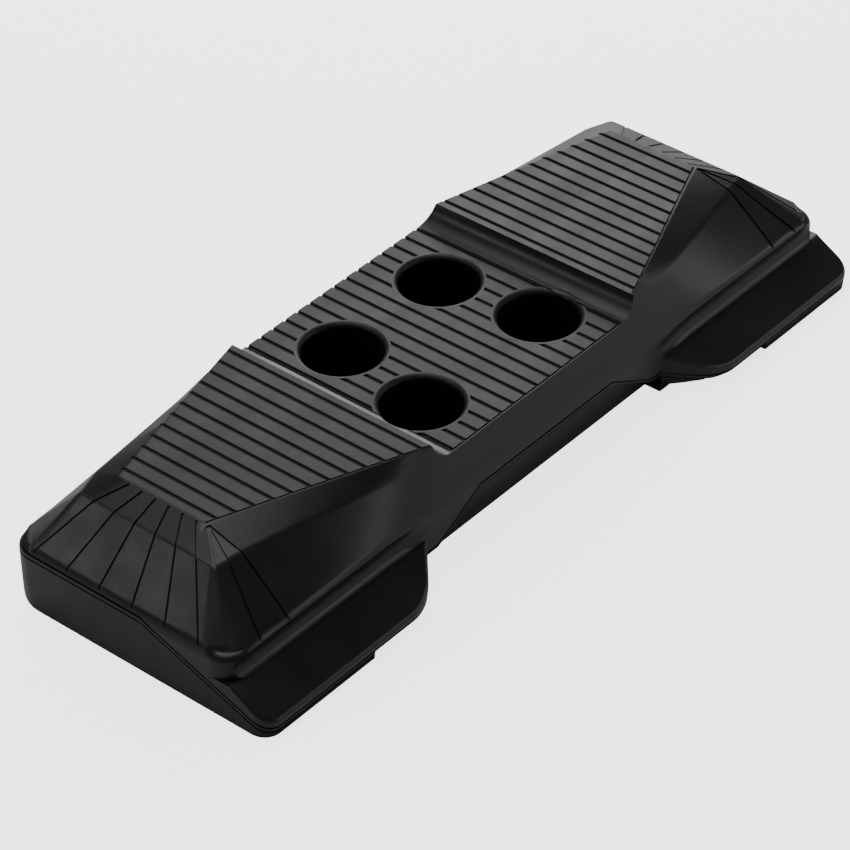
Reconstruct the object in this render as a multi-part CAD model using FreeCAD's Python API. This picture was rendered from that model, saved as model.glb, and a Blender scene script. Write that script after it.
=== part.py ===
import FreeCAD, Part
import math
import os

# Chain-on rubber track pad: two rubber mouldings vulcanised round a welded steel core.
# Millimetres. +X runs along the pad, +Z up, and the pad lies on the chain links at z = 0.
# The origin is on the seat face, midway along the pad and midway across its middle panel.
# The front edge (-Y) carries the lip that overlaps the neighbouring pad.

# ---- overall sizes ----
pad_length = 500.0
body_width = 157.0
middle_height = 61.0
end_height = 71.5
ridge_height = 38.5
corner_radius = 15.0

# ---- upper faces, each an inset from the outside of the body ----
middle_edge_inset = 5.8
step_top_x = 84.7
step_foot_radius = 13.125
end_panel_inset_x = 46.2
rim_inset_x = 29.5
panel_front_inset = 56.3
panel_back_inset = 39.3
shoulder_front_inset = 32.4
shoulder_back_inset = 22.0
rim_front_inset = 36.5
rim_back_inset = 27.0
hip_front_inset = 17.0
hip_back_inset = 17.0
shoulder_drop = 5.8
rim_drop = 6.7
step_shoulder_drop = 8.0

# ---- front lip and undercut edges ----
lip_reach = 23.5
lip_edge_height = 10.5
lip_root_height = 24.0
lip_inner_x = 100.0
lip_inner_slant = 26.0
lip_corner_radius = 12.0
lip_end_radius = 10.0
lip_relief_end_x = 168.0
lip_relief_height = 5.0
lip_relief_depth = 24.0
lip_undercut = 1.5
lip_overlap = 20.0
cove_depth = 2.2
cove_flat_half = 2.5
front_tuck = 11.0
back_edge_radius = 20.0

# ---- seam between the two mouldings ----
seam_height = 35.0
seam_bend_y = -16.0
seam_slope = 0.36
notch_seam_height = 31.5
notch_seam_half = 56.0
notch_seam_slope = 0.53

# ---- bolt holes and socket wells ----
rear_bolt_spacing = 80.7
front_bolt_spacing = 99.0
rear_bolt_y = 30.7
front_bolt_y = -32.6
bolt_hole_radius = 8.75
well_radius = 22.7
well_lip_radius = 3.1

# ---- steel core ----
plate_thickness = 8.0
plate_end_inset = 18.0
plate_front_inset = 18.5
plate_back_inset = 21.5
plate_corner_radius = 12.0
boss_height = 6.0
boss_overlap = 2.8
rib_thickness = 8.0
rib_height = 22.0
rib_end_inset = 10.0
wing_rib_gap = 9.0
wing_rib_height = 16.0
wing_rib_edge_inset = 10.0

# ---- tread grooves ----
middle_groove_pitch = 10.0
end_groove_pitch = 9.82
end_groove_start = 5.1
groove_width = 2.0
groove_depth = 1.5
groove_margin = 1.0
step_groove_clearance = 12.6
fan_grooves = 6
fan_groove_width = 1.4
fan_groove_depth = 1.1
fan_start_y = 30.0
fan_start_pitch = 9.0
fan_end_inset = 18.5
fan_end_pitch = 23.4
corner_groove_insets = (0.5, 23.2, 44.6)

# ---- worked out from the sizes above ----
half_length = pad_length / 2
half_width = body_width / 2
panel_end_x = half_length - end_panel_inset_x
rim_x = half_length - rim_inset_x
lip_front_y = -(half_width + lip_reach)
well_floor = plate_thickness + boss_height
boss_radius = well_radius + boss_overlap
step_rise = end_height - middle_height
plate_half = half_length - plate_end_inset
plate_front_y = -(half_width - plate_front_inset)
plate_back_y = half_width - plate_back_inset

# how far cutting shapes run past the solid, upwards and sideways
above = 40.0
beyond = 60.0

bolt_centres = {
    "rear_left": (-rear_bolt_spacing / 2, rear_bolt_y),
    "rear_right": (rear_bolt_spacing / 2, rear_bolt_y),
    "front_left": (-front_bolt_spacing / 2, front_bolt_y),
    "front_right": (front_bolt_spacing / 2, front_bolt_y),
}


def prism_along_x(outline, x_start, x_end):
    """Extrude a closed outline of (y, z) points along X."""
    points = [FreeCAD.Vector(x_start, y, z) for y, z in outline + outline[:1]]
    return Part.Face(Part.makePolygon(points)).extrude(FreeCAD.Vector(x_end - x_start, 0, 0))


def prism_along_y(outline, y_start, y_end):
    """Extrude a closed outline of (x, z) points along Y."""
    points = [FreeCAD.Vector(x, y_start, z) for x, z in outline + outline[:1]]
    return Part.Face(Part.makePolygon(points)).extrude(FreeCAD.Vector(0, y_end - y_start, 0))


def prism_along_z(outline, z_start, z_end):
    """Extrude a closed outline of (x, y) points along Z."""
    points = [FreeCAD.Vector(x, y, z_start) for x, y in outline + outline[:1]]
    return Part.Face(Part.makePolygon(points)).extrude(FreeCAD.Vector(0, 0, z_end - z_start))


def upright_edges(solid, x_sign, y_sign):
    """The vertical edges in one quadrant."""
    found = []
    for edge in solid.Edges:
        start = edge.Vertexes[0].Point
        end = edge.Vertexes[-1].Point
        upright = abs(start.x - end.x) < 1e-6 and abs(start.y - end.y) < 1e-6
        if upright and start.x * x_sign > 0 and start.y * y_sign > 0:
            found.append(edge)
    return found


def both_ends(solid):
    """A solid and its mirror image across the middle of the pad."""
    return solid.fuse(solid.mirror(FreeCAD.Vector(0, 0, 0), FreeCAD.Vector(1, 0, 0)))


def cross_section(x, top, shoulder, top_height, shoulder_height):
    """Outline of the body across the pad: top and shoulder are (front, back) in Y."""
    outline = [
        (half_width, 0.0),
        (half_width, ridge_height),
        (shoulder[1], shoulder_height),
        (top[1], top_height),
        (top[0], top_height),
        (shoulder[0], shoulder_height),
        (-half_width, ridge_height),
        (-half_width, 0.0),
    ]
    points = [FreeCAD.Vector(x, y, z) for y, z in outline + outline[:1]]
    return Part.makePolygon(points)


def wall_y(height):
    """Half width of the steep middle wall at a height."""
    lean = middle_edge_inset / (middle_height - ridge_height)
    return half_width - (height - ridge_height) * lean


def body_stations():
    """The four outlines of the +X half, from the step outwards."""
    step_shoulder = end_height - step_shoulder_drop
    step_top = wall_y(end_height)
    step_side = wall_y(step_shoulder)
    shoulder_height = end_height - shoulder_drop
    rim_height = end_height - rim_drop
    front = -half_width
    back = half_width
    return [
        (step_top_x, (-step_top, step_top), (-step_side, step_side), end_height, step_shoulder),
        (panel_end_x, (front + panel_front_inset, back - panel_back_inset),
         (front + shoulder_front_inset, back - shoulder_back_inset), end_height, shoulder_height),
        (rim_x, (front + panel_front_inset, back - panel_back_inset),
         (front + rim_front_inset, back - rim_back_inset), rim_height, rim_height),
        (half_length, (front + panel_front_inset, back - panel_back_inset),
         (front + hip_front_inset, back - hip_back_inset), ridge_height, ridge_height),
    ]


def hipped_body():
    """Ruled hip-roof body at end height throughout, with rounded upright corners."""
    stations = body_stations()
    wires = [cross_section(-x, *rest) for x, *rest in reversed(stations)]
    wires += [cross_section(x, *rest) for x, *rest in stations]
    body = Part.makeLoft(wires, True, True)
    keep = Part.makeBox(pad_length, body_width, end_height + above,
                        FreeCAD.Vector(-half_length, -half_width, 0))
    corners = [edge for sx in (-1, 1) for sy in (-1, 1) for edge in upright_edges(keep, sx, sy)]
    return body.common(keep.makeFillet(corner_radius, corners))


def middle_trough():
    """The space above the low middle panel, with a cove up to each end panel."""
    radius = max(step_foot_radius, step_rise)
    reach = math.sqrt(radius ** 2 - (radius - step_rise) ** 2)
    foot_x = step_top_x - reach
    middle = math.acos(1 - step_rise / radius) / 2
    rise = radius * (1 - math.cos(middle))
    run = radius * math.sin(middle)
    side = -half_width - beyond
    points = {}
    for sign in (-1, 1):
        points[sign] = [FreeCAD.Vector(sign * foot_x, side, middle_height),
                        FreeCAD.Vector(sign * (foot_x + run), side, middle_height + rise),
                        FreeCAD.Vector(sign * step_top_x, side, end_height),
                        FreeCAD.Vector(sign * step_top_x, side, end_height + above)]
    edges = [Part.LineSegment(points[-1][0], points[1][0]).toShape(),
             Part.Arc(*points[1][:3]).toShape(),
             Part.LineSegment(points[1][2], points[1][3]).toShape(),
             Part.LineSegment(points[1][3], points[-1][3]).toShape(),
             Part.LineSegment(points[-1][3], points[-1][2]).toShape(),
             Part.Arc(points[-1][2], points[-1][1], points[-1][0]).toShape()]
    face = Part.Face(Part.Wire(edges))
    return face.extrude(FreeCAD.Vector(0, body_width + 2 * beyond, 0))


def front_lip():
    """The lip at one end of the front edge, cut square at the end and slanting at the notch."""
    root_y = -half_width + lip_overlap
    section = [(root_y, 0), (root_y, lip_root_height), (-half_width, lip_root_height),
               (lip_front_y, lip_edge_height), (lip_front_y + lip_undercut, 0)]
    lip = prism_along_x(section, lip_inner_x - beyond, half_length)
    plan = [(half_length, root_y), (half_length, lip_front_y), (lip_inner_x + lip_inner_slant, lip_front_y),
            (lip_inner_x, -half_width), (lip_inner_x, root_y)]
    outline = prism_along_z(plan, -1, ridge_height)
    inner = [edge for edge in upright_edges(outline, 1, -1)
             if abs(edge.Vertexes[0].Point.x - lip_inner_x - lip_inner_slant) < 1e-6]
    outline = outline.makeFillet(lip_corner_radius, inner)
    outer = [edge for edge in upright_edges(outline, 1, -1)
             if abs(edge.Vertexes[0].Point.x - half_length) < 1e-6
             and abs(edge.Vertexes[0].Point.y - lip_front_y) < 1e-6]
    outline = outline.makeFillet(lip_end_radius, outer)
    relief = Part.makeBox(lip_relief_end_x - lip_inner_x + beyond, lip_relief_depth + beyond,
                          lip_relief_height + 1,
                          FreeCAD.Vector(lip_inner_x - beyond, lip_front_y - beyond, -1))
    return lip.common(outline).cut(relief)


def outside_back_rounding():
    """The space outside the large rounding along the back of the underside."""
    centre_y = half_width - back_edge_radius
    corner = Part.makeBox(pad_length + 2, back_edge_radius + beyond, back_edge_radius + 1,
                          FreeCAD.Vector(-half_length - 1, centre_y, -1))
    bar = Part.makeCylinder(back_edge_radius, pad_length + 4,
                            FreeCAD.Vector(-half_length - 2, centre_y, back_edge_radius),
                            FreeCAD.Vector(1, 0, 0))
    return corner.cut(bar)


def outer_shape():
    """The whole moulded outside, before wells, grooves and the seam."""
    body = hipped_body().cut(middle_trough())
    tuck = prism_along_x([(-half_width, notch_seam_height), (-half_width + front_tuck, 0),
                          (-half_width + front_tuck, -1), (-half_width - beyond, -1),
                          (-half_width - beyond, notch_seam_height)],
                         -lip_inner_x - lip_inner_slant, lip_inner_x + lip_inner_slant)
    cove_middle = (ridge_height + lip_root_height) / 2
    cove = prism_along_x([(-half_width - 1, ridge_height - 1), (-half_width, ridge_height - 1),
                          (-half_width + cove_depth, cove_middle + cove_flat_half),
                          (-half_width + cove_depth, cove_middle - cove_flat_half),
                          (-half_width, lip_root_height), (-half_width - 1, lip_root_height)],
                         lip_inner_x, half_length + 1)
    body = body.cut([tuck, outside_back_rounding()])
    body = body.fuse(both_ends(front_lip()))
    return body.cut(both_ends(cove)).removeSplitter()


def below_seam():
    """Everything under the seam: level at the back, falling to the lip, arched over the notch."""
    far_front = lip_front_y - beyond
    fall = (seam_bend_y - far_front) * seam_slope
    ends = prism_along_x([(half_width + beyond, -beyond), (half_width + beyond, seam_height),
                          (seam_bend_y, seam_height), (far_front, seam_height - fall),
                          (far_front, -beyond)], -half_length - 1, half_length + 1)
    foot = notch_seam_half + (notch_seam_height + 10) / notch_seam_slope
    arch = prism_along_y([(-foot, -10), (-notch_seam_half, notch_seam_height),
                          (notch_seam_half, notch_seam_height), (foot, -10)], far_front, 0)
    return ends.fuse(arch)


def well_space(centre, top):
    """One socket well with a rounded mouth, from the boss up through the tread."""
    x, y = centre
    bore = Part.makeCylinder(well_radius, top + above - well_floor, FreeCAD.Vector(x, y, well_floor))
    mouth = Part.makeCylinder(well_radius + well_lip_radius, well_lip_radius,
                              FreeCAD.Vector(x, y, top - well_lip_radius))
    ring = Part.makeTorus(well_radius + well_lip_radius, well_lip_radius,
                          FreeCAD.Vector(x, y, top - well_lip_radius))
    upper = Part.makeCylinder(well_radius + well_lip_radius, end_height,
                              FreeCAD.Vector(x, y, top))
    return bore.fuse(mouth.cut(ring)).fuse(upper)


def panel_edges(x):
    """Front and back edge of the tread panel at a place along the pad."""
    distance = abs(x)
    if distance < step_top_x:
        return -wall_y(middle_height), wall_y(middle_height)
    share = (distance - step_top_x) / (panel_end_x - step_top_x)
    front_start = -wall_y(end_height)
    front_end = -half_width + panel_front_inset
    back_end = half_width - panel_back_inset
    front = front_start + share * (front_end - front_start)
    back = -front_start + share * (back_end + front_start)
    return front, back


def cross_groove_places():
    """Where the cross grooves lie: over the middle panel and over both end panels."""
    middle_count = int((step_top_x - step_groove_clearance) / middle_groove_pitch)
    middle = [step * middle_groove_pitch for step in range(-middle_count, middle_count + 1)]
    room = panel_end_x - step_top_x - end_groove_start - end_groove_pitch / 2
    end_count = int(room / end_groove_pitch) + 1
    first = step_top_x + end_groove_start
    outer = [first + step * end_groove_pitch for step in range(end_count)]
    return middle, outer + [-x for x in outer]


def cross_grooves():
    """Cutters for the straight grooves across the three panels."""
    middle, ends = cross_groove_places()
    cutters = []
    for places, height in ((middle, middle_height), (ends, end_height)):
        for x in places:
            front, back = panel_edges(x)
            cutters.append(Part.makeBox(groove_width, back - front - 2 * groove_margin,
                                        groove_depth + above,
                                        FreeCAD.Vector(x - groove_width / 2, front + groove_margin,
                                                       height - groove_depth)))
    return cutters


def fan_routes():
    """Start and end of each groove that fans out from an end panel, in plan, on the +X end."""
    routes = []
    for step in range(fan_grooves):
        start = (panel_end_x, fan_start_y - step * fan_start_pitch)
        routes.append((start, (half_length, half_width - fan_end_inset - step * fan_end_pitch)))
    corner = (panel_end_x, -half_width + panel_front_inset)
    for inset in corner_groove_insets:
        routes.append((corner, (half_length - inset, -half_width)))
    return routes


def fan_groove_cutters(body):
    """Upright blades along the fan routes, stopped one groove depth below the surface."""
    floor = body.copy()
    floor.translate(FreeCAD.Vector(0, 0, -fan_groove_depth))
    cutters = []
    for start, end in fan_routes():
        run = math.hypot(end[0] - start[0], end[1] - start[1])
        blade = Part.makeBox(run, fan_groove_width, above,
                             FreeCAD.Vector(0, -fan_groove_width / 2, 0))
        turn = math.degrees(math.atan2(end[1] - start[1], end[0] - start[0]))
        blade.rotate(FreeCAD.Vector(0, 0, 0), FreeCAD.Vector(0, 0, 1), turn)
        blade.translate(FreeCAD.Vector(start[0], start[1], ridge_height))
        cutters.append(both_ends(blade.cut(floor)))
    return cutters


def rounded_plate():
    """The flat core plate with its four bolt holes."""
    plate = Part.makeBox(2 * plate_half, plate_back_y - plate_front_y, plate_thickness,
                         FreeCAD.Vector(-plate_half, plate_front_y, 0))
    corners = [edge for sx in (-1, 1) for sy in (-1, 1) for edge in upright_edges(plate, sx, sy)]
    plate = plate.makeFillet(plate_corner_radius, corners)
    holes = [bolt_hole(centre, plate_thickness) for centre in bolt_centres.values()]
    return plate.cut(holes)


def bolt_hole(centre, height):
    """A bolt clearance hole from below the seat to a height."""
    return Part.makeCylinder(bolt_hole_radius, height + 1, FreeCAD.Vector(centre[0], centre[1], -1))


def bolt_boss(centre):
    """The ring welded on the plate that seats one bolt head."""
    x, y = centre
    ring = Part.makeCylinder(boss_radius, boss_height, FreeCAD.Vector(x, y, plate_thickness))
    return ring.cut(bolt_hole(centre, well_floor + 1))


def core_ribs():
    """The bars welded on edge along the plate: one full length, two short ones on each wing."""
    ribs = {}
    centre_y = (rear_bolt_y + front_bolt_y) / 2
    ribs["centre_rib"] = Part.makeBox(2 * (plate_half - rib_end_inset), rib_thickness, rib_height,
                                      FreeCAD.Vector(-plate_half + rib_end_inset,
                                                     centre_y - rib_thickness / 2, plate_thickness))
    start = front_bolt_spacing / 2 + boss_radius + wing_rib_gap
    length = plate_half - rib_end_inset - start
    sides = {"front": plate_front_y + wing_rib_edge_inset,
             "rear": plate_back_y - wing_rib_edge_inset - rib_thickness}
    for side, y in sides.items():
        for end, x in (("left", -start - length), ("right", start)):
            ribs["wing_rib_" + side + "_" + end] = Part.makeBox(
                length, rib_thickness, wing_rib_height, FreeCAD.Vector(x, y, plate_thickness))
    return ribs


nodes = {"core_plate": rounded_plate()}
nodes.update(core_ribs())
for place, centre in bolt_centres.items():
    nodes["bolt_boss_" + place] = bolt_boss(centre)

steel = list(nodes.values())
for centre in bolt_centres.values():
    steel.append(bolt_hole(centre, well_floor + 1))

plain = outer_shape()
wells = [well_space(centre, middle_height) for centre in bolt_centres.values()]
whole = plain.cut(wells + cross_grooves() + fan_groove_cutters(plain))
lower_space = below_seam()
nodes["tread_rubber"] = whole.cut([lower_space] + steel)
nodes["base_rubber"] = whole.common(lower_space).cut(steel)

os.makedirs("parts", exist_ok=True)
for name, shape in nodes.items():
    clean = shape.removeSplitter()
    box = clean.BoundBox
    print(name, clean.isValid(), len(clean.Solids), round(clean.Volume),
          [round(v, 1) for v in (box.XMin, box.XMax, box.YMin, box.YMax, box.ZMin, box.ZMax)])
    clean.exportStep("parts/" + name + ".step")
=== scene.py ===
import math

import bmesh
import bpy
from mathutils import Matrix, Vector


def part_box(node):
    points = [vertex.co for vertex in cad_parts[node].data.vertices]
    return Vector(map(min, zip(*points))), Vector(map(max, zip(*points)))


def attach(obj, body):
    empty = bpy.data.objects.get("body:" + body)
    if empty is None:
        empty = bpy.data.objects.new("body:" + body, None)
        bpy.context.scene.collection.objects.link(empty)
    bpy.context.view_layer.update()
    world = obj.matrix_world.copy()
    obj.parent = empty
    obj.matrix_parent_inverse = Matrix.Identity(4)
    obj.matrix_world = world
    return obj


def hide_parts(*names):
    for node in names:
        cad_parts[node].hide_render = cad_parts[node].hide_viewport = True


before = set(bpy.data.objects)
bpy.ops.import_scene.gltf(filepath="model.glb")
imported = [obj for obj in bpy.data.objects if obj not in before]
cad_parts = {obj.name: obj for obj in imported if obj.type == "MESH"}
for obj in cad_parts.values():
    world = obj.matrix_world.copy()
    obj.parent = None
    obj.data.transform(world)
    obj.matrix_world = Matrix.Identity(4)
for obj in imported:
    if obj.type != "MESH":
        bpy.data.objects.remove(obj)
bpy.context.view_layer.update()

# Bolt-on rubber track pad: a welded steel core between two black rubber mouldings. The pad lies on
# its seat at z = 0, +X along it, and the front edge (-Y) carries the lip that overlaps the next pad.
# Everything is in metres, and sizes given in millimetres are multiplied by mm.
mm = 0.001


# ---- pad blank ----
# The outside of the whole pad as it leaves the mould: a long block with hipped ends, a low middle, a
# front lip in two halves and a rounded rear underside. Both mouldings are cut from this one shape.

tread_low, tread_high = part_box("tread_rubber")
half_length = tread_high.x
back_y = tread_high.y
lip_front_y = tread_low.y
crown_z = tread_high.z
middle_z = 61 * mm
ridge_z = 38.5 * mm
wall_top_y = back_y - 5.8 * mm
step_x = 84.7 * mm
panel_end_x = half_length - 46.2 * mm
rim_x = half_length - 29.5 * mm
panel_front_y = -back_y + 56.3 * mm
panel_back_y = back_y - 39.3 * mm
corner_radius = 15 * mm

# shapes run past what they cut by over, and joined faces are kept a hair apart
over = 10 * mm
hair = 0.02 * mm


def near(a, b):
    return abs(a - b) < hair


def select_only(piece):
    bpy.ops.object.select_all(action="DESELECT")
    piece.select_set(True)
    bpy.context.view_layer.objects.active = piece


def edit(piece):
    """Select one piece alone and open it for editing."""
    select_only(piece)
    bpy.ops.object.mode_set(mode="EDIT")


def done():
    bpy.ops.object.mode_set(mode="OBJECT")


def pick(kind, test):
    """In the open piece, select the verts, edges or faces whose points pass the test."""
    modes = {"verts": "VERT", "edges": "EDGE", "faces": "FACE"}
    bpy.ops.mesh.select_mode(type=modes[kind])
    bpy.ops.mesh.select_all(action="DESELECT")
    mesh = bmesh.from_edit_mesh(bpy.context.edit_object.data)
    for part in getattr(mesh, kind):
        points = [part.co] if kind == "verts" else [v.co for v in part.verts]
        if test(points):
            part.select_set(True)
    mesh.select_flush_mode()
    bmesh.update_edit_mesh(bpy.context.edit_object.data)


def slice_at(place, normal):
    """Add an edge loop all round the open piece."""
    bpy.ops.mesh.select_all(action="SELECT")
    bpy.ops.mesh.bisect(plane_co=place, plane_no=normal)


def move_point(x, y, z, to_y, to_z):
    """Take the points at both ends of the pad at |x|, y, z to a new y and z."""
    pick("verts", lambda p: near(abs(p[0].x), x) and near(p[0].y, y) and near(p[0].z, z))
    bpy.ops.transform.translate(value=(0, to_y - y, to_z - z))


def block(name, low, high):
    """A rectangular block between two corners, its place in its mesh."""
    bpy.ops.object.select_all(action="DESELECT")
    centre = [(a + b) / 2 for a, b in zip(low, high)]
    size = [b - a for a, b in zip(low, high)]
    bpy.ops.mesh.primitive_cube_add(size=1, location=centre, scale=size)
    bpy.ops.object.transform_apply(location=True, rotation=True, scale=True)
    bpy.context.object.name = name
    return bpy.context.object


def copy_of(piece, name):
    twin = piece.copy()
    twin.data = piece.data.copy()
    twin.name = name
    bpy.context.scene.collection.objects.link(twin)
    return twin


def mirror_of(piece, name):
    """The same shape at the other end of the pad."""
    twin = copy_of(piece, name)
    edit(twin)
    bpy.ops.mesh.select_all(action="SELECT")
    bpy.ops.transform.resize(value=(-1, 1, 1), center_override=(0, 0, 0))
    bpy.ops.mesh.flip_normals()
    done()
    return twin


def combine(piece, tool, operation, keep_tool=False):
    """Join, cut or intersect a piece with a tool shape."""
    select_only(piece)
    cut = piece.modifiers.new("cut", "BOOLEAN")
    cut.operation = operation
    cut.object = tool
    cut.solver = "EXACT"
    bpy.ops.object.modifier_apply(modifier="cut")
    edit(piece)
    bpy.ops.mesh.select_all(action="SELECT")
    bpy.ops.mesh.remove_doubles(threshold=hair / 4)
    bpy.ops.mesh.quads_convert_to_tris()
    done()
    if not keep_tool:
        bpy.data.objects.remove(tool)


def wall_y(height):
    """How far out the steep middle wall stands at a height."""
    return back_y - (height - ridge_z) * (back_y - wall_top_y) / (middle_z - ridge_z)


# a block with a loop at each station, where the hipped ends are then shaped
blank = block("pad_blank", (-half_length, -back_y, -over), (half_length, back_y, crown_z))
edit(blank)
shoulder_cut_z = 65 * mm
for x in (step_x, panel_end_x, rim_x):
    slice_at((x, 0, 0), (1, 0, 0))
    slice_at((-x, 0, 0), (1, 0, 0))
for z in (ridge_z, shoulder_cut_z):
    slice_at((0, 0, z), (0, 0, 1))

# each row: x, front and back edge of the top, front and back shoulder, top height, shoulder height
step_shoulder_z = crown_z - 8 * mm
rim_z = crown_z - 6.7 * mm
stations = [
    (step_x, -wall_y(crown_z), wall_y(crown_z), -wall_y(step_shoulder_z), wall_y(step_shoulder_z),
     crown_z, step_shoulder_z),
    (panel_end_x, panel_front_y, panel_back_y, -back_y + 32.4 * mm, back_y - 22 * mm,
     crown_z, crown_z - 5.8 * mm),
    (rim_x, panel_front_y, panel_back_y, -back_y + 36.5 * mm, back_y - 27 * mm, rim_z, rim_z),
    (half_length, panel_front_y, panel_back_y, -back_y + 17 * mm, back_y - 17 * mm, ridge_z, ridge_z),
]
for x, top_front, top_back, side_front, side_back, top, shoulder in stations:
    for edge_y, top_y, side_y in ((-back_y, top_front, side_front), (back_y, top_back, side_back)):
        move_point(x, edge_y, crown_z, top_y, top)
        move_point(x, edge_y, shoulder_cut_z, side_y, shoulder)

# the ends are one flat face each, up to the ridge
pick("faces", lambda p: all(near(abs(q.x), half_length) for q in p))
bpy.ops.mesh.delete(type="FACE")
for end in (-1, 1):
    pick("edges", lambda p: all(near(q.x, end * half_length) for q in p))
    bpy.ops.mesh.edge_face_add()
bpy.ops.mesh.select_all(action="SELECT")
bpy.ops.mesh.remove_doubles(threshold=0.01 * mm)

# more loops let the twisted side faces curve
for share in (0.2, 0.4, 0.6, 0.8):
    x = step_x + share * (panel_end_x - step_x)
    slice_at((x, 0, 0), (1, 0, 0))
    slice_at((-x, 0, 0), (1, 0, 0))

# upright corners
pick("edges", lambda p: all(near(abs(q.x), half_length) and near(abs(q.y), back_y) for q in p)
     and not near(p[0].z, p[1].z))
bpy.ops.mesh.bevel(offset=corner_radius, segments=8, affect="EDGES")

# edge roundings: the ridge is the widest, and the others are a share of it
ridge_round = 4.5 * mm
shoulder_round = 2.0 * mm
hip_round = 3.0 * mm
rim_round = 1.2 * mm
panel_round = 0.6 * mm
hip_foot_y = 50 * mm


def weigh(width, test):
    """Set how wide the edges that pass the test are rounded."""
    pick("edges", test)
    bpy.ops.transform.edge_bevelweight(value=width / ridge_round)


def joins(p, x_one, x_two):
    """Whether both ends of an edge lie between two places along the pad."""
    found = sorted(abs(q.x) for q in p)
    return x_one - hair < found[0] and found[1] < x_two + hair


weigh(ridge_round, lambda p: all(near(q.z, ridge_z) for q in p))
weigh(shoulder_round, lambda p: joins(p, step_x, rim_x) and not near(p[0].x, p[1].x)
      and all(ridge_z + mm < q.z < crown_z - mm for q in p))
weigh(hip_round, lambda p: joins(p, rim_x, half_length) and not near(abs(p[0].x), abs(p[1].x))
      and all(abs(q.y) > hip_foot_y or q.z > ridge_z + mm for q in p)
      and all(q.y < panel_front_y - mm or q.y > panel_back_y + mm for q in p)
      and max(q.z for q in p) > ridge_z + mm)
weigh(rim_round, lambda p: all(near(abs(q.x), rim_x) and q.z > ridge_z + mm for q in p))
weigh(panel_round, lambda p: all(near(q.z, crown_z) for q in p)
      and (all(near(abs(q.x), panel_end_x) for q in p) or joins(p, step_x, panel_end_x)
           and not near(p[0].x, p[1].x)))
done()
select_only(blank)
edges = blank.modifiers.new("edges", "BEVEL")
edges.width = ridge_round
edges.segments = 5
edges.limit_method = "WEIGHT"
edges.use_clamp_overlap = False
bpy.ops.object.modifier_apply(modifier="edges")
edit(blank)
bpy.ops.mesh.select_all(action="SELECT")
bpy.ops.mesh.quads_convert_to_tris()
done()

# a round cove runs under the front ridge at both ends, and fades out towards the notch
cove_radius = 10 * mm
cove_axis_z = 31 * mm
cove_bite = 3.6 * mm
cove_start_x = 92 * mm
cove_full_x = 128 * mm
bpy.ops.object.select_all(action="DESELECT")
bpy.ops.mesh.primitive_cylinder_add(
    vertices=64, radius=cove_radius, depth=half_length, rotation=(0, math.radians(90), 0),
    location=(cove_start_x + half_length / 2, -back_y + cove_bite - cove_radius, cove_axis_z))
bpy.ops.object.transform_apply(location=True, rotation=True, scale=True)
cove_bar = bpy.context.object
edit(cove_bar)
for share in (0.33, 0.67, 1.0):
    slice_at((cove_start_x + share * (cove_full_x - cove_start_x), 0, 0), (1, 0, 0))
# how much of its bite the cove has lost at each place along the fade
for share, back_off in ((0, 1.05), (0.33, 0.68), (0.67, 0.22)):
    x = cove_start_x + share * (cove_full_x - cove_start_x)
    pick("verts", lambda p: near(p[0].x, x))
    bpy.ops.transform.translate(value=(0, -back_off * cove_bite, 0))
bpy.ops.mesh.select_all(action="SELECT")
bpy.ops.mesh.quads_convert_to_tris()
done()
combine(blank, mirror_of(cove_bar, "other_cove_bar"), "DIFFERENCE")
combine(blank, cove_bar, "DIFFERENCE")

# the lip halves: flat below, sloping down from the root, with a slanting inner end
lip_inner_x = 100 * mm
lip_root_z = 24 * mm
lip_overlap = 19 * mm
lip_edge_z = 10.5 * mm
lip_slant = 26 * mm
lip_undercut = 1.5 * mm
lip_corner_radius = 12 * mm
lip_end_radius = 10 * mm
lip_edge_round = 2.2 * mm
lip_root_round = 6 * mm
lip_bottom_z = -over / 2
lip = block("lip", (lip_inner_x, lip_front_y, lip_bottom_z),
            (half_length - hair, -back_y + lip_overlap, lip_root_z))
edit(lip)
slice_at((0, -back_y, 0), (0, 1, 0))
pick("verts", lambda p: near(p[0].y, lip_front_y) and near(p[0].z, lip_root_z))
bpy.ops.transform.translate(value=(0, 0, lip_edge_z - lip_root_z))
pick("verts", lambda p: near(p[0].y, lip_front_y) and near(p[0].x, lip_inner_x))
bpy.ops.transform.translate(value=(lip_slant, 0, 0))
for x, radius in ((lip_inner_x + lip_slant, lip_corner_radius), (half_length - hair, lip_end_radius)):
    pick("edges", lambda p: all(near(q.x, x) and near(q.y, lip_front_y) for q in p))
    bpy.ops.mesh.bevel(offset=radius, segments=8, affect="EDGES")
pick("verts", lambda p: near(p[0].z, lip_bottom_z) and p[0].y < -back_y - mm)
bpy.ops.transform.translate(value=(0, lip_undercut * (1 - lip_bottom_z / lip_edge_z), 0))
pick("edges", lambda p: all(q.z > lip_edge_z - hair and q.y < -back_y + hair for q in p)
     and not all(near(q.y, -back_y) for q in p) and not all(near(q.x, lip_inner_x) for q in p))
bpy.ops.mesh.bevel(offset=lip_edge_round, segments=4, affect="EDGES")
pick("edges", lambda p: all(near(q.y, -back_y) and near(q.z, lip_root_z) for q in p))
bpy.ops.mesh.bevel(offset=lip_root_round, segments=6, affect="EDGES")
done()
combine(blank, mirror_of(lip, "other_lip"), "UNION")
combine(blank, lip, "UNION")

# everything below the seat plane and behind the rounded rear underside is trimmed away
rear_edge_radius = 20 * mm
keep = block("keep", (-half_length - over, lip_front_y - over, 0),
             (half_length + over, back_y + hair, crown_z + over))
edit(keep)
pick("edges", lambda p: all(near(q.y, back_y + hair) and near(q.z, 0) for q in p))
bpy.ops.mesh.bevel(offset=rear_edge_radius, segments=12, affect="EDGES")
done()
combine(blank, keep, "INTERSECT")

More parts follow.
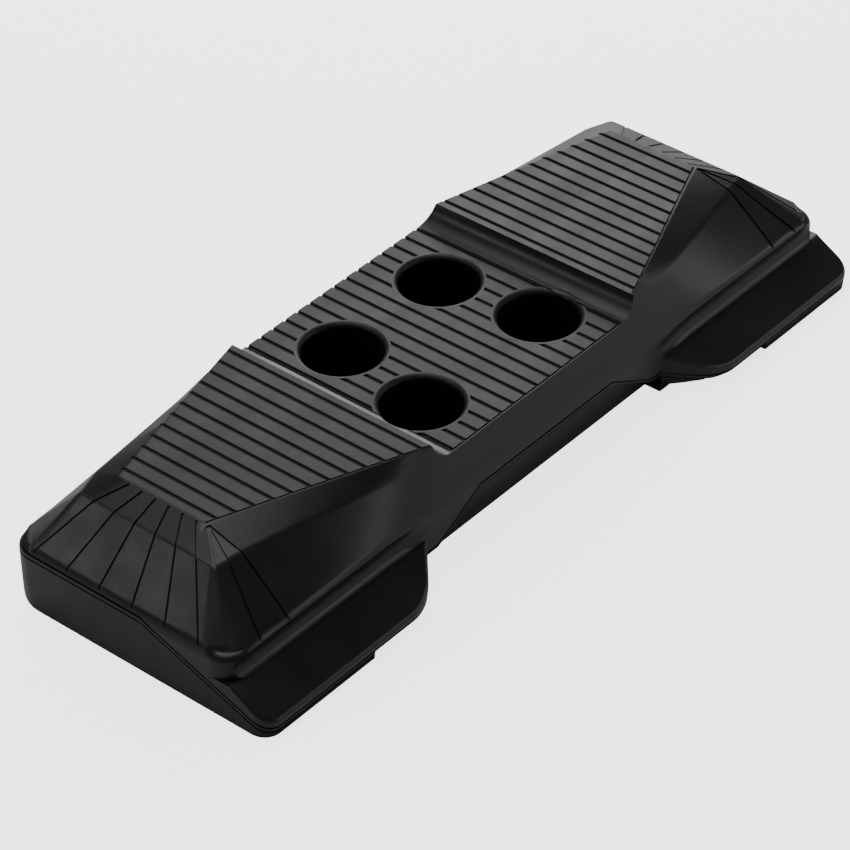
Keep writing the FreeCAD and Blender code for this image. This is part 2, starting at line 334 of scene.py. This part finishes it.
# a shallow relief under the inner part of each lip
lip_relief_start_x = lip_inner_x - 2 * mm
lip_relief_end_x = 168 * mm
lip_relief_y = -back_y + 0.5 * mm
lip_relief_z = 5 * mm
relief = block("relief", (lip_relief_start_x, lip_front_y - over, -over),
               (lip_relief_end_x, lip_relief_y, lip_relief_z))
combine(blank, mirror_of(relief, "other_relief"), "DIFFERENCE")
combine(blank, relief, "DIFFERENCE")

# the low middle, with a cove up to each end panel that reaches a little past the step's edge
step_cove = 13.125 * mm
trough_end_x = step_x + 0.265 * mm
trough_reach = 200 * mm
trough = block("trough", (-trough_end_x, -trough_reach, middle_z),
               (trough_end_x, trough_reach, crown_z + 5 * over))
edit(trough)
pick("edges", lambda p: all(near(q.z, middle_z) for q in p) and near(p[0].x, p[1].x))
bpy.ops.mesh.bevel(offset=step_cove, segments=12, affect="EDGES")
done()
combine(blank, trough, "DIFFERENCE")

# a copy drawn in by the depth of the seam lines, for cutting them later
line_depth = 1.1 * mm
middle_y = (back_y + lip_front_y) / 2
drawn_in_x = 1 - line_depth / half_length
drawn_in_y = 1 - 2 * line_depth / (back_y - lip_front_y)
inside = copy_of(blank, "inside")
edit(inside)
bpy.ops.mesh.select_all(action="SELECT")
bpy.ops.transform.resize(value=(drawn_in_x, drawn_in_y, 1), center_override=(0, middle_y, 0))
done()


# ---- steel core ----
# A flat plate with five bars and four bored rings welded on it, blasted and primed before the rubber
# is moulded on. Only its underside and the ring faces at the bottom of the wells stay bare.

plate_z = 8 * mm
plate_corner_radius = 12 * mm
fit_gap = 0.05 * mm
boss_radius = 25.5 * mm
well_radius = 22.7 * mm
well_floor_z = 14 * mm
rib_names = ("centre_rib", "wing_rib_front_left", "wing_rib_front_right", "wing_rib_rear_left",
             "wing_rib_rear_right")
bolt_places = {}
for place in ("rear_left", "rear_right", "front_left", "front_right"):
    low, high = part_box("bolt_boss_" + place)
    bolt_places[place] = ((low.x + high.x) / 2, (low.y + high.y) / 2)

# the hollow that each steel part leaves in the rubber
plate_low, plate_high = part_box("core_plate")
plate_hollow = block("plate_hollow", (plate_low.x - fit_gap, plate_low.y - fit_gap, -over),
                     (plate_high.x + fit_gap, plate_high.y + fit_gap, plate_z + fit_gap))
edit(plate_hollow)
pick("edges", lambda p: not near(p[0].z, p[1].z))
bpy.ops.mesh.bevel(offset=plate_corner_radius, segments=8, affect="EDGES")
done()
combine(blank, plate_hollow, "DIFFERENCE")
for rib in rib_names:
    low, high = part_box(rib)
    combine(blank, block("rib_hollow", (low.x - fit_gap, low.y - fit_gap, plate_z - mm),
                         (high.x + fit_gap, high.y + fit_gap, high.z + fit_gap)), "DIFFERENCE")

# each well: a straight bore above its boss, with a mouth that rolls outwards
well_lip_radius = 3.1 * mm
well_sides = 96
mouth_steps = 6
mouth_z = middle_z - well_lip_radius + fit_gap


def round_bar(place, radius, low_z, high_z):
    """An upright round bar, its place in its mesh."""
    bpy.ops.object.select_all(action="DESELECT")
    bpy.ops.mesh.primitive_cylinder_add(vertices=well_sides, radius=radius, depth=high_z - low_z,
                                        location=(*place, (high_z + low_z) / 2))
    bpy.ops.object.transform_apply(location=True, rotation=True, scale=True)
    return bpy.context.object


for x, y in bolt_places.values():
    combine(blank, round_bar((x, y), boss_radius + fit_gap, 0, well_floor_z + fit_gap), "DIFFERENCE")
    well = round_bar((x, y), well_radius, plate_z, mouth_z)
    edit(well)
    pick("faces", lambda p: len(p) > 8 and all(near(q.z, mouth_z) for q in p))
    reach = well_radius
    height = mouth_z
    for step in range(1, mouth_steps + 1):
        turn = math.radians(90 * step / mouth_steps)
        new_reach = well_radius + well_lip_radius * (1 - math.cos(turn))
        new_height = mouth_z + well_lip_radius * math.sin(turn)
        bpy.ops.mesh.extrude_region_move(TRANSFORM_OT_translate={"value": (0, 0, new_height - height)})
        bpy.ops.transform.resize(value=(new_reach / reach, new_reach / reach, 1),
                                 center_override=(x, y, new_height))
        reach = new_reach
        height = new_height
    bpy.ops.mesh.extrude_region_move(TRANSFORM_OT_translate={"value": (0, 0, 2 * over)})
    done()
    combine(blank, well, "DIFFERENCE")


# ---- tread grooves ----
# Narrow sipes cut by ribs in the mould: straight ones across the three panels, nine that fan out over
# each hipped end, and a fine line where the panel inserts of the mould meet the block.

groove_width = 2 * mm
groove_depth = 1.5 * mm
groove_margin = 1 * mm
groove_flare = 0.4 * mm
groove_foot_round = 0.6 * mm
middle_pitch = 10 * mm
middle_count = 7
end_pitch = 9.82 * mm
end_start = 5.1 * mm
end_count = 12


def panel_edges(x):
    """Front and back edge of the tread panel at a place along the pad."""
    if abs(x) < step_x:
        return -wall_y(middle_z), wall_y(middle_z)
    share = (abs(x) - step_x) / (panel_end_x - step_x)
    return (-wall_y(crown_z) + share * (panel_front_y + wall_y(crown_z)),
            wall_y(crown_z) + share * (panel_back_y - wall_y(crown_z)))


def join_all(name, pieces):
    """Make one object of several."""
    bpy.ops.object.select_all(action="DESELECT")
    for piece in pieces:
        piece.select_set(True)
    bpy.context.view_layer.objects.active = pieces[0]
    bpy.ops.object.join()
    pieces[0].name = name
    return pieces[0]


def groove_blade(x, front, back, surface_z):
    """The rib that moulds one cross groove: rounded at the foot, flared just under the surface."""
    low = (x - groove_width / 2, front, surface_z - groove_depth)
    blade = block("blade", low, (x + groove_width / 2, back, surface_z + over))
    edit(blade)
    pick("edges", lambda p: all(near(q.z, low[2]) for q in p) and near(p[0].x, p[1].x))
    bpy.ops.mesh.bevel(offset=groove_foot_round, segments=3, affect="EDGES")
    for z in (surface_z - groove_flare, surface_z + groove_flare):
        slice_at((0, 0, z), (0, 0, 1))
    for side in (-1, 1):
        pick("verts", lambda p: p[0].z > surface_z and (p[0].x - x) * side > 0)
        bpy.ops.transform.translate(value=(side * 2 * groove_flare, 0, 0))
    done()
    return blade


middle_places = [step * middle_pitch for step in range(-middle_count, middle_count + 1)]
end_places = [step_x + end_start + step * end_pitch for step in range(end_count)]
blades = []
for places, height in ((middle_places, middle_z), (end_places + [-x for x in end_places], crown_z)):
    for x in places:
        front, back = panel_edges(x)
        blades.append(groove_blade(x, front + groove_margin, back + 2 * groove_margin, height))

# a copy lowered by the depth of the fan grooves, to give them an even floor
fan_depth = 1.1 * mm
fan_floor = copy_of(blank, "fan_floor")
edit(fan_floor)
bpy.ops.mesh.select_all(action="SELECT")
bpy.ops.transform.translate(value=(0, 0, -fan_depth))
done()

# the cross grooves stop short of the rims of the wells
cross_blades = join_all("cross_blades", blades)
rim_gap = 0.5 * mm
for place in bolt_places.values():
    clearance = round_bar(place, well_radius + well_lip_radius + rim_gap, middle_z - 2 * over,
                          middle_z + 2 * over)
    combine(cross_blades, clearance, "DIFFERENCE")
combine(blank, cross_blades, "DIFFERENCE")

# start and end in plan of each fan groove on the +X end, narrower and shallower than the cross grooves:
# six run down to the end, and three from the panel's corner to the front
fan_gap = 1.3 * mm
fan_width = 1.4 * mm
end_fans = 6
fan_top_y = 30 * mm
fan_top_pitch = 9 * mm
fan_foot_y = back_y - 18.5 * mm
fan_foot_pitch = 23.4 * mm
front_fan_insets = (0.5 * mm, 23.2 * mm, 44.6 * mm)
fan_routes = [((panel_end_x, fan_top_y - step * fan_top_pitch),
               (half_length, fan_foot_y - step * fan_foot_pitch)) for step in range(end_fans)]
fan_routes += [((panel_end_x, panel_front_y), (half_length - inset, -back_y)) for inset in front_fan_insets]


def blade_along(start, finish, width, gap, low_z, high_z):
    """An upright blade along a route in plan, stopping short of both ends by the gap."""
    run = math.dist(start, finish)
    blade = block("route_blade", (gap, -width / 2, low_z), (run - gap, width / 2, high_z))
    blade.rotation_euler = (0, 0, math.atan2(finish[1] - start[1], finish[0] - start[0]))
    blade.location = (start[0], start[1], 0)
    select_only(blade)
    bpy.ops.object.transform_apply(location=True, rotation=True, scale=True)
    return blade


for start, finish in fan_routes:
    blade = blade_along(start, finish, fan_width, fan_gap, ridge_z, crown_z + over)
    combine(blade, fan_floor, "DIFFERENCE", keep_tool=True)
    combine(blank, mirror_of(blade, "other_blade"), "DIFFERENCE")
    combine(blank, blade, "DIFFERENCE")
bpy.data.objects.remove(fan_floor)

# the fine lines along the front of each panel and along the foot of each step
border_width = 1.0 * mm
border_inset = 1.2 * mm
border_depth = 1.1 * mm
border_gap = 0.3 * mm
step_line_width = 0.8 * mm
step_line_depth = 0.77 * mm
step_foot_x = step_x - 12.86 * mm
middle_front_y = -wall_y(middle_z) + border_inset
borders = [
    blade_along((step_x + border_gap, -wall_y(crown_z) + border_inset),
                (panel_end_x - border_gap, panel_front_y + border_inset), border_width, 0,
                crown_z - border_depth, crown_z + over),
    blade_along((step_foot_x, middle_front_y), (step_foot_x, wall_y(middle_z) - border_inset),
                step_line_width, border_width, middle_z - step_line_depth, middle_z + over / 2),
]
for border in borders:
    combine(blank, border, "DIFFERENCE", keep_tool=True)
    combine(blank, mirror_of(border, "other_border"), "DIFFERENCE")
    bpy.data.objects.remove(border)
combine(blank, blade_along((-step_foot_x, middle_front_y), (step_foot_x, middle_front_y), border_width,
                           0, middle_z - border_depth, middle_z + over / 2), "DIFFERENCE")


# ---- rubber mouldings ----
# The tread and the base are moulded one on the other, and meet in a seam: level along the back and the
# ends, falling to the lip, arched over the notch. A thin bead of flash stands between two fine lines.

seam_z = 35 * mm
seam_bend_y = -16 * mm
seam_slope = 0.36
notch_seam_z = 31.5 * mm
notch_seam_half = 56 * mm
notch_seam_slope = 0.53
front_tuck = 11 * mm
bead_half = 0.9 * mm
upper_line_top = 2.1 * mm
lower_line_foot = -1.9 * mm


def below_seam(name, lift, margin):
    """Everything under the seam when it is lifted a little; the margin widens the far sides."""
    far_front = lip_front_y - 2 * over - margin
    far_back = back_y + 2 * over + margin
    bottom = -2 * over - margin
    ends = block(name, (-half_length - over - margin, far_front, bottom),
                 (half_length + over + margin, far_back, seam_z + lift))
    edit(ends)
    slice_at((0, seam_bend_y, 0), (0, 1, 0))
    pick("verts", lambda p: near(p[0].y, far_front) and near(p[0].z, seam_z + lift))
    bpy.ops.transform.translate(value=(0, 0, (far_front - seam_bend_y) * seam_slope))
    done()
    foot = notch_seam_half + (notch_seam_z + lift - bottom) / notch_seam_slope
    arch = block("arch", (-notch_seam_half, far_front - mm, bottom - mm),
                 (notch_seam_half, -mm, notch_seam_z + lift))
    edit(arch)
    for side in (-1, 1):
        pick("verts", lambda p: near(p[0].x, side * notch_seam_half) and near(p[0].z, bottom - mm))
        bpy.ops.transform.translate(value=(side * (foot - notch_seam_half), 0, 0))
    done()
    combine(ends, arch, "UNION")
    return ends


def seam_line(name, low_lift, high_lift):
    """A fine line cut round the outside, between two heights above the seam."""
    line = below_seam(name, high_lift, 0)
    combine(line, below_seam("seam_below", low_lift, mm), "DIFFERENCE")
    combine(line, inside, "DIFFERENCE", keep_tool=True)
    return line


tread = blank
tread.name = "tread_moulding"
base = copy_of(tread, "base_moulding")
seam = below_seam("seam", 0, 0)
combine(tread, seam, "DIFFERENCE", keep_tool=True)
combine(base, seam, "INTERSECT")
combine(tread, seam_line("upper_line", bead_half, upper_line_top), "DIFFERENCE")
combine(base, seam_line("lower_line", lower_line_foot, -bead_half), "DIFFERENCE")
bpy.data.objects.remove(inside)

# between the lips, under the tread, the notch wall leans in, clear of the chain
tuck_foot = front_tuck * (1 + over / notch_seam_z)
tuck = block("tuck", (-lip_inner_x, -back_y - over, -over), (lip_inner_x, -back_y + tuck_foot, notch_seam_z))
edit(tuck)
pick("verts", lambda p: near(p[0].z, notch_seam_z) and p[0].y > -back_y)
bpy.ops.transform.translate(value=(0, -tuck_foot, 0))
done()
combine(base, tuck, "DIFFERENCE")


def add_group(name, inputs, outputs):
    """A pattern shared by several finishes: a node group with named inputs and outputs."""
    group = bpy.data.node_groups.new(name, "ShaderNodeTree")
    for label, kind, value in inputs:
        socket = group.interface.new_socket(label, in_out="INPUT", socket_type=kind)
        if value is not None:
            socket.default_value = value
    for label in outputs:
        group.interface.new_socket(label, in_out="OUTPUT", socket_type="NodeSocketFloat")
    return group, group.nodes.new("NodeGroupInput"), group.nodes.new("NodeGroupOutput")


def noise(tree, place, scale, detail, roughness=0.5):
    """A noise pattern; its scale is a number or a socket."""
    node = tree.nodes.new("ShaderNodeTexNoise")
    node.inputs["Detail"].default_value = detail
    node.inputs["Roughness"].default_value = roughness
    tree.links.new(place, node.inputs["Vector"])
    if isinstance(scale, bpy.types.NodeSocket):
        tree.links.new(scale, node.inputs["Scale"])
    else:
        node.inputs["Scale"].default_value = scale
    return node.outputs["Fac"]


def sums(tree, operation, first, second):
    """A Math node on two numbers or sockets."""
    node = tree.nodes.new("ShaderNodeMath")
    node.operation = operation
    for socket, value in zip(node.inputs, (first, second)):
        if isinstance(value, bpy.types.NodeSocket):
            tree.links.new(value, socket)
        else:
            socket.default_value = value
    return node.outputs["Value"]


def spread(tree, value, low, high, to_low, to_high):
    """Stretch a pattern's range from low..high to another."""
    node = tree.nodes.new("ShaderNodeMapRange")
    tree.links.new(value, node.inputs["Value"])
    for label, number in (("From Min", low), ("From Max", high), ("To Min", to_low), ("To Max", to_high)):
        node.inputs[label].default_value = number
    return node.outputs["Result"]


# moulded rubber: a fine grain with small pits, cloudy bloom, faint flow streaks along the mould, and
# a little pale dust that settles on what faces up
skin, skin_in, skin_out = add_group(
    "moulded_skin", (("Place", "NodeSocketVector", None), ("Grain Scale", "NodeSocketFloat", 1300),
                     ("Dust", "NodeSocketFloat", 0.5)), ("Height", "Bloom", "Sheen"))
place = skin_in.outputs["Place"]
grain = noise(skin, place, skin_in.outputs["Grain Scale"], 4, 0.6)
pits = skin.nodes.new("ShaderNodeTexVoronoi")
pits.inputs["Scale"].default_value = 420
skin.links.new(place, pits.inputs["Vector"])
pit_depth = spread(skin, pits.outputs["Distance"], 0.0, 0.35, 0.0, 1.0)
waviness = noise(skin, place, 55, 3)
height = sums(skin, "ADD", sums(skin, "MULTIPLY", grain, 0.6), sums(skin, "MULTIPLY", pit_depth, 0.25))
skin.links.new(sums(skin, "ADD", height, sums(skin, "MULTIPLY", waviness, 0.6)), skin_out.inputs["Height"])
clouds = spread(skin, noise(skin, place, 16, 6, 0.62), 0.38, 0.68, 0.0, 1.0)
stretch = skin.nodes.new("ShaderNodeMapping")
stretch.inputs["Scale"].default_value = (4, 70, 70)
skin.links.new(place, stretch.inputs["Vector"])
streaks = spread(skin, noise(skin, stretch.outputs["Vector"], 1.0, 4), 0.35, 0.7, 0.0, 1.0)
facing = skin.nodes.new("ShaderNodeSeparateXYZ")
geometry = skin.nodes.new("ShaderNodeNewGeometry")
skin.links.new(geometry.outputs["Normal"], facing.inputs["Vector"])
upward = spread(skin, facing.outputs["Z"], 0.55, 0.98, 0.0, 1.0)
settled = sums(skin, "MULTIPLY", sums(skin, "MULTIPLY", upward, skin_in.outputs["Dust"]),
               spread(skin, noise(skin, place, 90, 6, 0.7), 0.3, 0.75, 0.2, 1.0))
bloom = sums(skin, "ADD", sums(skin, "MULTIPLY", clouds, 0.45), settled)
skin.links.new(bloom, skin_out.inputs["Bloom"])
sheen = sums(skin, "ADD", sums(skin, "MULTIPLY", clouds, 0.55), sums(skin, "MULTIPLY", streaks, 0.45))
skin.links.new(sheen, skin_out.inputs["Sheen"])


def finish(name, dark, light, rough, specular, fill):
    """A material whose colour runs from dark to light and whose roughness runs over a pair of values.
    fill(tree, place) gives the pattern sockets for colour, roughness and height, and the bump depth."""
    paint = bpy.data.materials.new(name)
    paint.use_nodes = True
    tree = paint.node_tree
    shader = tree.nodes["Principled BSDF"]
    shader.inputs["Specular IOR Level"].default_value = specular
    spots = tree.nodes.new("ShaderNodeTexCoord")
    tone, gloss, height, depth = fill(tree, spots.outputs["Object"])
    colours = tree.nodes.new("ShaderNodeMix")
    colours.data_type = "RGBA"
    colours.inputs["A"].default_value = (*dark, 1)
    colours.inputs["B"].default_value = (*light, 1)
    tree.links.new(tone, colours.inputs["Factor"])
    tree.links.new(colours.outputs["Result"], shader.inputs["Base Color"])
    tree.links.new(spread(tree, gloss, 0.0, 1.0, rough[0], rough[1]), shader.inputs["Roughness"])
    bump = tree.nodes.new("ShaderNodeBump")
    bump.inputs["Strength"].default_value = 0.6
    bump.inputs["Distance"].default_value = depth
    tree.links.new(height, bump.inputs["Height"])
    tree.links.new(bump.outputs["Normal"], shader.inputs["Normal"])
    return paint


def rubber(name, dark, light, rough, specular, grain_scale, dust, depth):
    """Black rubber with the moulded skin, at its own grain and dust."""
    def fill(tree, place):
        cover = tree.nodes.new("ShaderNodeGroup")
        cover.node_tree = skin
        cover.inputs["Grain Scale"].default_value = grain_scale
        cover.inputs["Dust"].default_value = dust
        tree.links.new(place, cover.inputs["Place"])
        return cover.outputs["Bloom"], cover.outputs["Sheen"], cover.outputs["Height"], depth
    return finish(name, dark, light, rough, specular, fill)


slope_rubber = rubber("slope_rubber", (0.004, 0.0042, 0.005), (0.0115, 0.012, 0.0134), (0.31, 0.43), 0.3,
                      1500, 0.15, 0.10 * mm)
panel_rubber = rubber("panel_rubber", (0.0035, 0.0036, 0.0039), (0.015, 0.0152, 0.0146), (0.44, 0.58), 0.3,
                      1100, 0.55, 0.16 * mm)
under_rubber = rubber("under_rubber", (0.0036, 0.0038, 0.0044), (0.0105, 0.011, 0.012), (0.38, 0.52), 0.26,
                      1300, 0.1, 0.12 * mm)


step_width = 12 * mm
panel_slack = 0.3 * mm
flat_angle = math.radians(0.4)
smooth_angle = math.radians(32)


def paint_faces(piece, slot, test):
    """Give one material slot to the faces whose centre passes the test."""
    edit(piece)
    bpy.ops.mesh.select_mode(type="FACE")
    bpy.ops.mesh.select_all(action="DESELECT")
    mesh = bmesh.from_edit_mesh(piece.data)
    for face in mesh.faces:
        if test(face.calc_center_median()):
            face.select_set(True)
    bmesh.update_edit_mesh(piece.data)
    piece.active_material_index = slot
    bpy.ops.object.material_slot_assign()
    done()


def on_panel(centre):
    """Whether a face is on a tread panel or in one of its grooves."""
    in_middle = abs(centre.x) < step_x - step_width and centre.z > middle_z - 2 * groove_depth
    on_end = step_x - mm < abs(centre.x) < panel_end_x + mm and centre.z > crown_z - 1.5 * groove_depth
    front, back = panel_edges(centre.x)
    return (in_middle or on_end) and front - panel_slack < centre.y < back + panel_slack


# flat stretches become single faces, so that the shading stays even over them
for piece, node, looks in ((tread, "tread_rubber", (slope_rubber, panel_rubber)),
                           (base, "base_rubber", (under_rubber,))):
    piece.data.materials.clear()
    for look in looks:
        piece.data.materials.append(look)
    if piece == tread:
        paint_faces(piece, 1, on_panel)
    edit(piece)
    bpy.ops.mesh.select_all(action="SELECT")
    bpy.ops.mesh.dissolve_limited(angle_limit=flat_angle, delimit={"MATERIAL"})
    done()
    select_only(piece)
    bpy.ops.object.shade_smooth_by_angle(angle=smooth_angle)
    even = piece.modifiers.new("even", "WEIGHTED_NORMAL")
    even.keep_sharp = True
    even.weight = 60
    bpy.ops.object.modifier_apply(modifier="even")
    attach(piece, "root")
    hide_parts(node)


# ---- steel finishes ----
# The bars and the plate are sheared from flat stock, blasted and primed black; the links rub the primer
# thin under the plate. Each boss is a bored ring faced on a lathe before it is welded on.

# steel wear: rubbed patches, their gloss, and the grain that blasting leaves
wear, wear_in, wear_out = add_group(
    "steel_wear", (("Place", "NodeSocketVector", None), ("Wear Scale", "NodeSocketFloat", 22)),
    ("Patches", "Gloss", "Grain"))
place = wear_in.outputs["Place"]
coarse = wear_in.outputs["Wear Scale"]
patches = spread(wear, noise(wear, place, coarse, 7, 0.68), 0.42, 0.66, 0.0, 1.0)
rubbed = spread(wear, noise(wear, place, sums(wear, "MULTIPLY", coarse, 4), 4), 0.3, 0.7, 0.0, 1.0)
wear.links.new(patches, wear_out.inputs["Patches"])
wear.links.new(rubbed, wear_out.inputs["Gloss"])
wear.links.new(noise(wear, place, 700, 5, 0.65), wear_out.inputs["Grain"])

# lathe rings: the fine circles of a facing cut about the middle of a ring
lathe, lathe_in, lathe_out = add_group(
    "lathe_rings", (("Place", "NodeSocketVector", None), ("Centre", "NodeSocketVector", None)), ("Rings",))
about = lathe.nodes.new("ShaderNodeVectorMath")
about.operation = "SUBTRACT"
lathe.links.new(lathe_in.outputs["Place"], about.inputs[0])
lathe.links.new(lathe_in.outputs["Centre"], about.inputs[1])
rings = lathe.nodes.new("ShaderNodeTexWave")
rings.wave_type = "RINGS"
rings.rings_direction = "Z"
rings.inputs["Scale"].default_value = 260
rings.inputs["Distortion"].default_value = 0.6
lathe.links.new(about.outputs["Vector"], rings.inputs["Vector"])
lathe.links.new(rings.outputs["Fac"], lathe_out.inputs["Rings"])


def steel(name, dark, light, rough, metallic, wear_scale, turned_about=None):
    """Worn steel; a turned piece has lathe rings about its middle instead of the blasted grain."""
    def fill(tree, place):
        worn = tree.nodes.new("ShaderNodeGroup")
        worn.node_tree = wear
        worn.inputs["Wear Scale"].default_value = wear_scale
        tree.links.new(place, worn.inputs["Place"])
        relief = worn.outputs["Grain"]
        if turned_about is not None:
            faced = tree.nodes.new("ShaderNodeGroup")
            faced.node_tree = lathe
            faced.inputs["Centre"].default_value = (*turned_about, 0)
            tree.links.new(place, faced.inputs["Place"])
            relief = faced.outputs["Rings"]
        return worn.outputs["Patches"], worn.outputs["Gloss"], relief, 0.05 * mm
    paint = finish(name, dark, light, rough, 0.5, fill)
    paint.node_tree.nodes["Principled BSDF"].inputs["Metallic"].default_value = metallic
    return paint


def dress(node, paint):
    """Give a steel node its finish."""
    piece = bpy.data.objects[node]
    piece.data.materials.clear()
    piece.data.materials.append(paint)


dress("core_plate", steel("primed_plate", (0.018, 0.018, 0.02), (0.085, 0.083, 0.08), (0.35, 0.62), 0.35, 22))
bar_steel = steel("blasted_bar", (0.10, 0.10, 0.105), (0.19, 0.19, 0.195), (0.5, 0.75), 0.8, 60)
for rib in rib_names:
    dress(rib, bar_steel)
for place, centre in bolt_places.items():
    dress("bolt_boss_" + place, steel("faced_boss_" + place, (0.05, 0.05, 0.052), (0.2, 0.2, 0.2),
                                      (0.3, 0.5), 0.9, 80, centre))


# ---- floor ----
# A wide sheet of plain white paper, level with the pad's seat. To the camera it glows a little, so that it
# reads as white without flooding the pad with light.
floor_size = 6.0
floor_glow = 2.6
bpy.ops.object.select_all(action="DESELECT")
bpy.ops.mesh.primitive_plane_add(size=floor_size, location=(0, 0, 0))
floor = bpy.context.object
floor.name = "studio_floor"
floor_paint = bpy.data.materials.new("studio_floor")
floor_paint.use_nodes = True
paper = floor_paint.node_tree.nodes["Principled BSDF"]
paper.inputs["Base Color"].default_value = (0.9, 0.9, 0.9, 1)
paper.inputs["Roughness"].default_value = 0.9
paper.inputs["Emission Color"].default_value = (1, 1, 1, 1)
seen = floor_paint.node_tree.nodes.new("ShaderNodeLightPath")
glow = sums(floor_paint.node_tree, "MULTIPLY", seen.outputs["Is Camera Ray"], floor_glow)
floor_paint.node_tree.links.new(glow, paper.inputs["Emission Strength"])
floor.data.materials.append(floor_paint)


# ---- light ----
# A dim pale surround, a box behind the far end that rakes over the tread, a broad one overhead, a small
# one behind the left end, and a low strip in front for the thin lights along the ridge and the lip.
world = bpy.data.worlds.new("studio")
bpy.context.scene.world = world
world.use_nodes = True
world.node_tree.nodes["Background"].inputs["Color"].default_value = (1, 1, 1, 1)
world.node_tree.nodes["Background"].inputs["Strength"].default_value = 0.17


def softbox(name, place, aim, size, power):
    """A rectangular light at a place, turned to what it lights."""
    bpy.ops.object.select_all(action="DESELECT")
    bpy.ops.object.light_add(type="AREA", location=place)
    lamp = bpy.context.object
    lamp.name = name
    lamp.data.shape = "RECTANGLE"
    lamp.data.size = size[0]
    lamp.data.size_y = size[1]
    lamp.data.energy = power
    lamp.rotation_euler = (Vector(aim) - Vector(place)).to_track_quat("-Z", "Y").to_euler()


softbox("far_box", (1.2, 0.9, 0.7), (0.15, 0.03, 0.06), (0.9, 0.8), 15)
softbox("top_box", (-0.1, 0.5, 2.1), (0, 0, 0), (1.8, 1.2), 28)
softbox("left_box", (-0.85, 0.65, 0.62), (-0.18, 0, 0.06), (0.22, 0.2), 1.3)
softbox("front_strip", (0.75, -1.05, 0.33), (0, -0.08, 0.03), (1.3, 0.12), 3.5)


# ---- camera ----
# A long lens, from above and beyond the front left corner. Azimuth is turned from -Y, elevation is up from
# the floor, and the roll tips the picture a little.
bpy.ops.object.camera_add()
camera = bpy.context.object
camera.name = "camera"
camera_place = Vector((-1.2338, -1.06905, 1.27404))
azimuth = math.radians(-48.872)
elevation = math.radians(37.978)
roll = math.radians(-1.465)
forward = -Vector((math.sin(azimuth) * math.cos(elevation), -math.cos(azimuth) * math.cos(elevation),
                   math.sin(elevation)))
level_right = forward.cross(Vector((0, 0, 1))).normalized()
level_up = level_right.cross(forward)
right = math.cos(roll) * level_right + math.sin(roll) * level_up
up = math.cos(roll) * level_up - math.sin(roll) * level_right
camera.matrix_world = Matrix.Translation(camera_place) @ Matrix((right, up, -forward)).transposed().to_4x4()
camera.data.lens = 159.44
camera.data.sensor_width = 36
camera.data.clip_start = 0.05
bpy.context.scene.camera = camera
